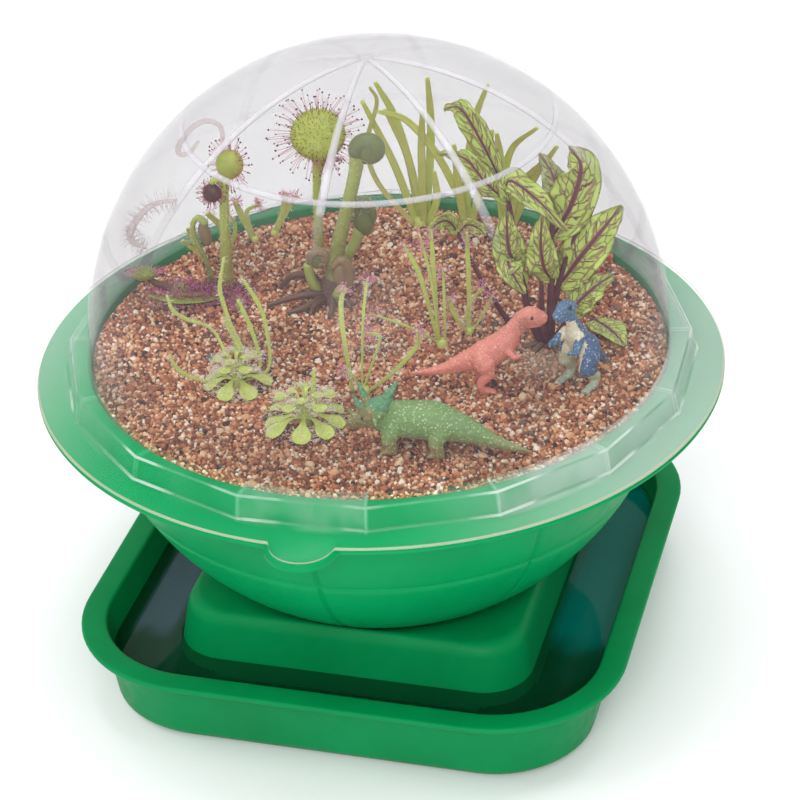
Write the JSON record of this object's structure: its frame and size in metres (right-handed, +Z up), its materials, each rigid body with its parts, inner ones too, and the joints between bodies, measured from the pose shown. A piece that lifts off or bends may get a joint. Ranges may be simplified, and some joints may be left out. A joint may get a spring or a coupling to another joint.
{
  "type": "planted dome terrarium",
  "caption": "Round green pot of sandy gravel with sundews, sorrel, grass and toy dinosaurs under a clear ribbed plastic dome lid, standing on the raised seat of a square water tray.",
  "frame": {"origin": "middle of the whole object's bounding box at its underside, which is the plane of the tray's feet; the pot's axis stands 4 mm behind it, toward +Y, because the finger tabs reach past the flanges at the front only", "axes": "+Z up along the pot's axis, -Y toward the finger tabs at the front, +X to the right; the tray's sides are parallel to X and Y"},
  "size_m": [0.19, 0.198, 0.1798],
  "materials": {
    "tray_plastic": "satin",
    "pot_plastic": "satin",
    "clear_plastic": "gloss",
    "water": "gloss",
    "sand": "matte",
    "sundew_green": "satin",
    "sundew_brown": "satin",
    "sprout_green": "satin",
    "grass_green": "satin",
    "sorrel_green": "satin",
    "toy_green": "satin",
    "toy_pink": "satin",
    "toy_blue": "satin",
    "toy_coral": "satin"
  },
  "bodies": {
    "root": {"tray": "tray_plastic", "water": "water", "pot": "pot_plastic", "sand": "sand", "lid": "clear_plastic", "sundew_tall": "sundew_green", "sundew_rolled": "sundew_brown", "sundew_left": "sundew_green", "sundew_hooked": "sundew_brown", "sprout_far_left": "sprout_green", "sprout_back_left": "sprout_green", "sprout_back": "sprout_green", "sprout_pair": "sprout_green", "grass_left": "grass_green", "grass_middle": "grass_green", "grass_right": "grass_green", "sorrel": "sorrel_green", "sorrel_side_stalk": "sorrel_green", "sorrel_low_leaf": "sorrel_green", "shoots_middle": "sprout_green", "shoots_middle_right": "sprout_green", "shoots_front": "sprout_green", "rosette_left": "sprout_green", "rosette_front": "sprout_green", "figure_horned": "toy_green", "figure_pink": "toy_pink", "figure_blue": "toy_blue", "figure_coral": "toy_coral"}
  },
  "joints": []
}
